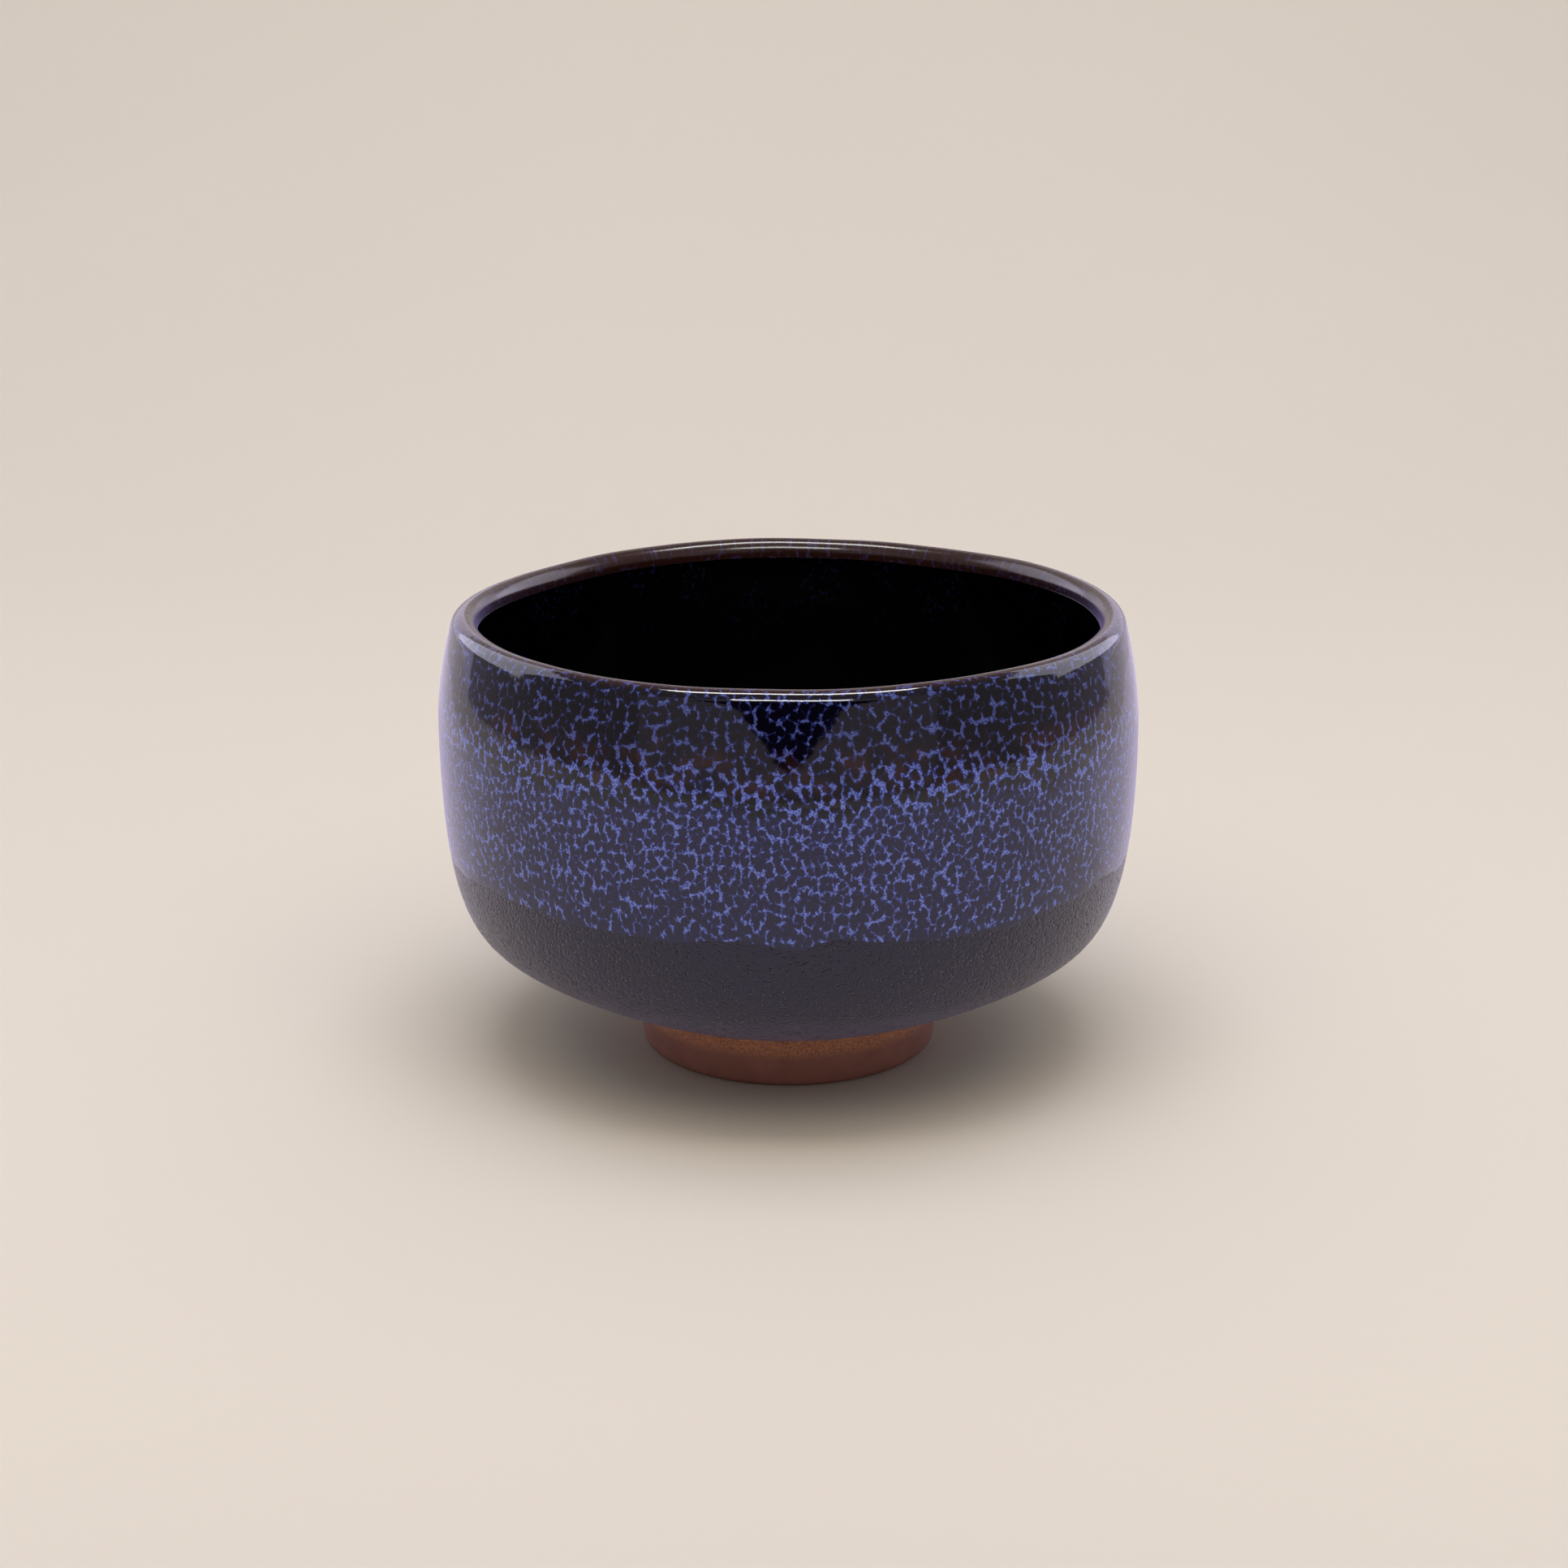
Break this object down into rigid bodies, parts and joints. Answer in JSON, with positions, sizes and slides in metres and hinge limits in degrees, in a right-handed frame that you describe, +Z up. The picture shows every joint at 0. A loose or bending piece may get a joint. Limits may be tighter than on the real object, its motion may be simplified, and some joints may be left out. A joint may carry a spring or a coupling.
{
  "type": "matcha bowl",
  "caption": "Round thrown tea bowl with nearly upright walls, a rolled lip, a low turned foot ring and glaze in horizontal bands; for whisking and drinking powdered tea.",
  "frame": {"origin": "middle of the bowl's axis on the surface that it stands on", "axes": "+Z up along the bowl's axis; X and Y are free, because the bowl is round"},
  "size_m": [0.12, 0.12, 0.078],
  "materials": {
    "body_clay": "fired red-brown stoneware, unglazed",
    "foot_clay": "bare toasted red-brown stoneware with fine grog",
    "matt_glaze": "matt blue-black glaze with a fine pebbled surface",
    "speckled_glaze": "satin dark glaze broken by a fine blue web",
    "rim_glaze": "glossy near-black glaze with a coarse blue web",
    "liner_glaze": "glossy near-black glaze"
  },
  "bodies": {
    "root": {"clay_body": "body_clay", "foot_ring": "foot_clay", "base_glaze": "matt_glaze", "speckled_glaze": "speckled_glaze", "rim_glaze": "rim_glaze", "liner_glaze": "liner_glaze"}
  },
  "joints": []
}
